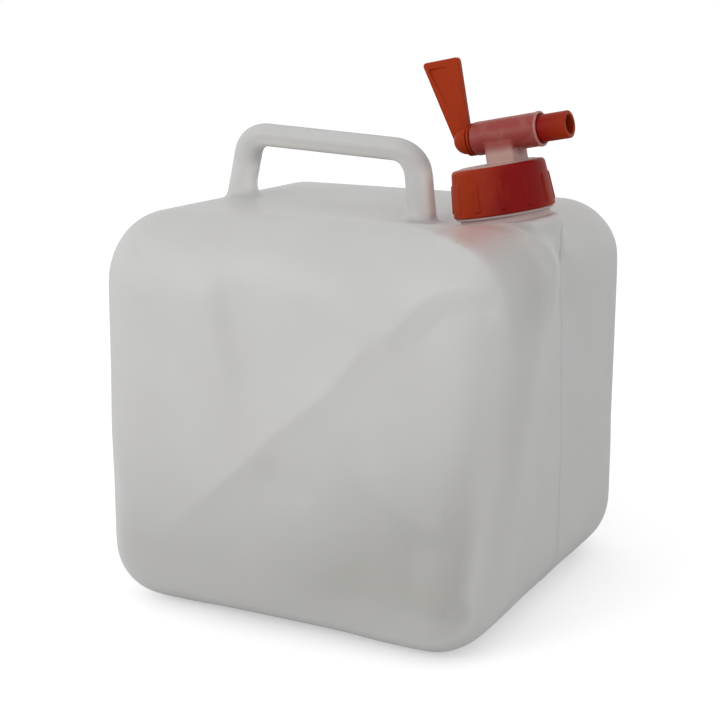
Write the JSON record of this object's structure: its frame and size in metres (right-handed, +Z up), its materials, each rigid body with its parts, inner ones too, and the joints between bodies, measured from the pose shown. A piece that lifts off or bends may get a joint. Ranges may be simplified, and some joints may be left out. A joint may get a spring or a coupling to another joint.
{
  "type": "collapsible water carrier",
  "caption": "Soft cube-shaped plastic water container that presses flat, with a moulded carrying handle and a tilted screw neck holding a lever tap with a swivelling spout.",
  "frame": {"origin": "middle of the whole carrier's box in plan, on the ground plane that its four base pads stand on", "axes": "+Z up; +X along the mould's parting plane from the handle to the neck; -Y is the front face seen in the picture"},
  "size_m": [0.2402, 0.2438, 0.2867],
  "materials": {
    "natural_polyethylene": "uncoloured low-density polyethylene, milky and slightly translucent, satin",
    "clear_polypropylene": "uncoloured translucent polypropylene that takes on the orange of the plug inside it",
    "orange_polyethylene": "moulded red-orange polyethylene, satin gloss",
    "seal_foam": "soft white closed-cell seal"
  },
  "bodies": {
    "base": {"container_base": "natural_polyethylene", "container_wall": "natural_polyethylene"},
    "top": {"container_top": "natural_polyethylene"},
    "seal": {"neck_gasket": "seal_foam"},
    "ring": {"screw_ring": "orange_polyethylene"},
    "tap": {"tap_body": "clear_polypropylene"},
    "plug": {"lever_plug": "orange_polyethylene"}
  },
  "joints": [
    {"name": "collapse", "type": "slide", "parent": "base", "child": "top", "axis": [0, 0, -1], "range_m": [0, 0.138], "deforming": ["container_wall"]},
    {"name": "cap_lift", "type": "slide", "parent": "top", "child": "seal", "axis": [-0.1788, 0, 0.9839], "range_m": [0, 0.0113]},
    {"name": "cap_turn", "type": "hinge", "parent": "seal", "child": "ring", "pos_m": [0.07152, -0.0004, 0.2081], "axis": [-0.1788, 0, 0.9839], "range_deg": [0, 900]},
    {"name": "tap_swivel", "type": "hinge", "parent": "seal", "child": "tap", "pos_m": [0.07152, -0.0004, 0.2081], "axis": [-0.1788, 0, 0.9839], "range_deg": [-130, 150]},
    {"name": "lever_turn", "type": "hinge", "parent": "tap", "child": "plug", "pos_m": [0.06453, -0.0004, 0.24657], "axis": [0.9641, -0.1994, 0.1752], "range_deg": [-90, 90]}
  ],
  "couplings": [
    {"joint": "cap_lift", "follows": "cap_turn", "m_per_rad": 0.0007162}
  ]
}
